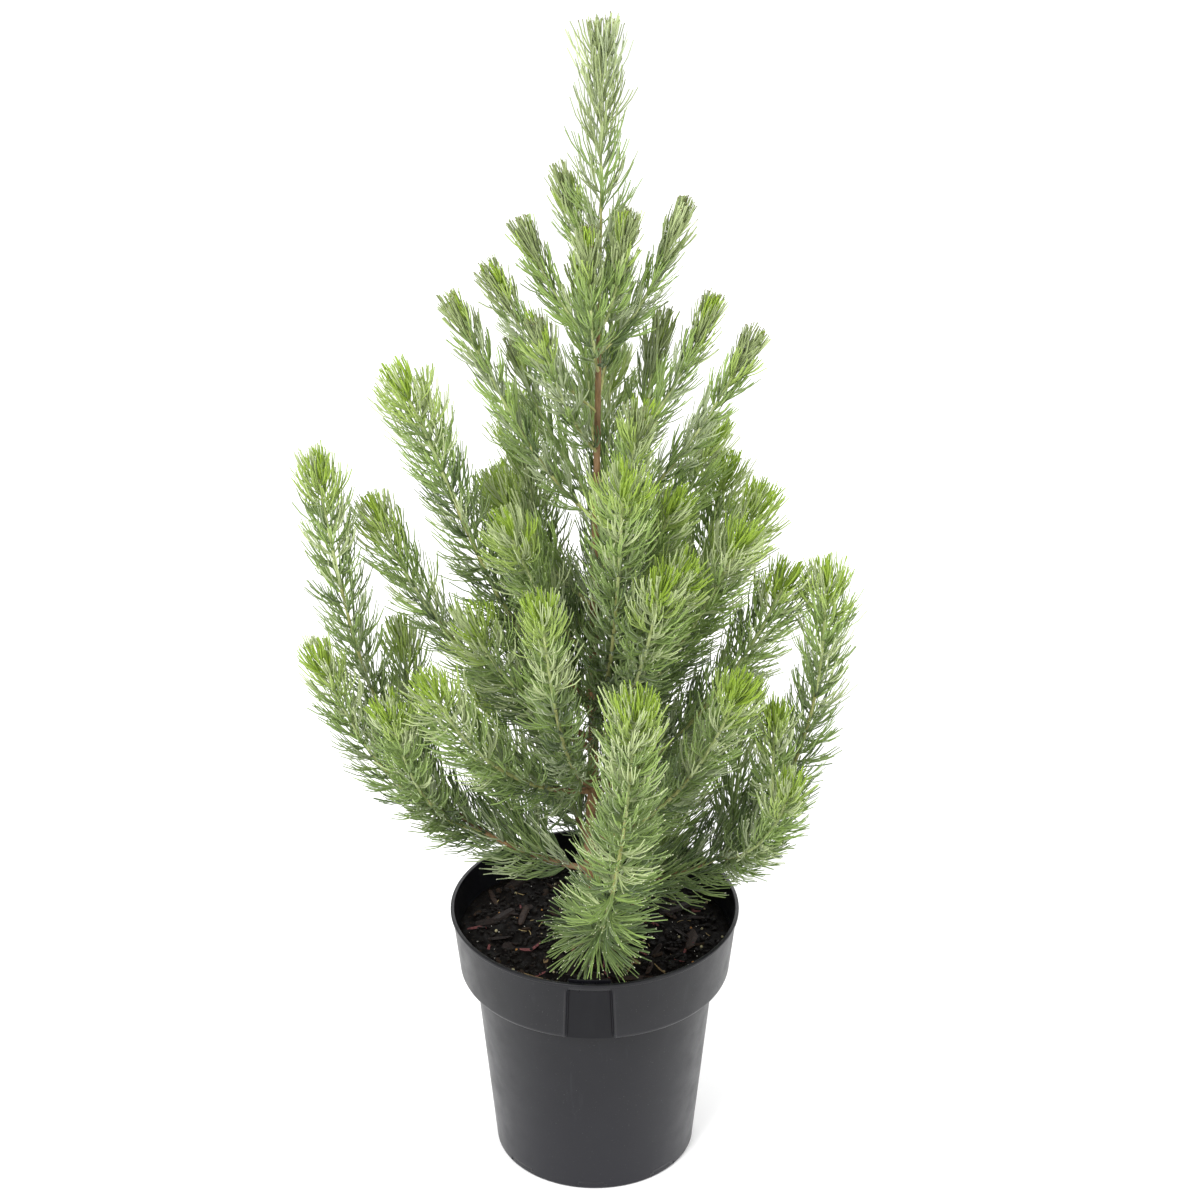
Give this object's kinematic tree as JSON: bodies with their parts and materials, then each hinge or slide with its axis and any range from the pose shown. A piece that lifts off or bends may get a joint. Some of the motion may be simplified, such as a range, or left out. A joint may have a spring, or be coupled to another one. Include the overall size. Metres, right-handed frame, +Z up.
{
  "type": "potted woolly bush",
  "caption": "A slender evergreen shrub with soft needle-like foliage on upswept shoots, growing from one thin trunk in a dark plastic nursery pot with a wide collar.",
  "frame": {"origin": "middle of the pot's flat underside, on the plane that it stands on", "axes": "+Z up along the pot's axis and the trunk, -Y towards the pot's front with the label recess, +X to the right seen from the front"},
  "size_m": [0.4572, 0.377, 1.0286],
  "materials": {
    "pot_plastic": "satin anthracite grey, moulded",
    "potting_mix": "rough, dark composted bark with chips",
    "bark": "fine-grained brown bark",
    "needles": "soft, slightly downy grey-green needles"
  },
  "bodies": {
    "root": {"pot": "pot_plastic", "potting_mix": "potting_mix", "trunk": "bark", "bough_back_1": "bark", "bough_back_2": "bark", "bough_back_3": "bark", "bough_front_1": "bark", "bough_front_2": "bark", "bough_front_4": "bark", "bough_left_1": "bark", "bough_left_2": "bark", "bough_left_3": "bark", "bough_left_4": "bark", "bough_left_5": "bark", "bough_right_1": "bark", "bough_right_2": "bark", "bough_right_3": "bark", "bough_right_4": "bark", "bough_right_6": "bark", "plume_back_1": "needles", "plume_back_2": "needles", "plume_back_3": "needles", "plume_back_4": "needles", "plume_back_5": "needles", "plume_back_6": "needles", "plume_back_7": "needles", "plume_back_8": "needles", "plume_front_1": "needles", "plume_front_2": "needles", "plume_front_3": "needles", "plume_front_4": "needles", "plume_front_5": "needles", "plume_front_6": "needles", "plume_front_7": "needles", "plume_leader": "needles", "plume_left_1": "needles", "plume_left_10": "needles", "plume_left_11": "needles", "plume_left_12": "needles", "plume_left_13": "needles", "plume_left_2": "needles", "plume_left_3": "needles", "plume_left_4": "needles", "plume_left_5": "needles", "plume_left_6": "needles", "plume_left_7": "needles", "plume_left_8": "needles", "plume_left_9": "needles", "plume_right_1": "needles", "plume_right_10": "needles", "plume_right_11": "needles", "plume_right_2": "needles", "plume_right_3": "needles", "plume_right_4": "needles", "plume_right_5": "needles", "plume_right_6": "needles", "plume_right_7": "needles", "plume_right_8": "needles", "plume_right_9": "needles"}
  },
  "joints": []
}
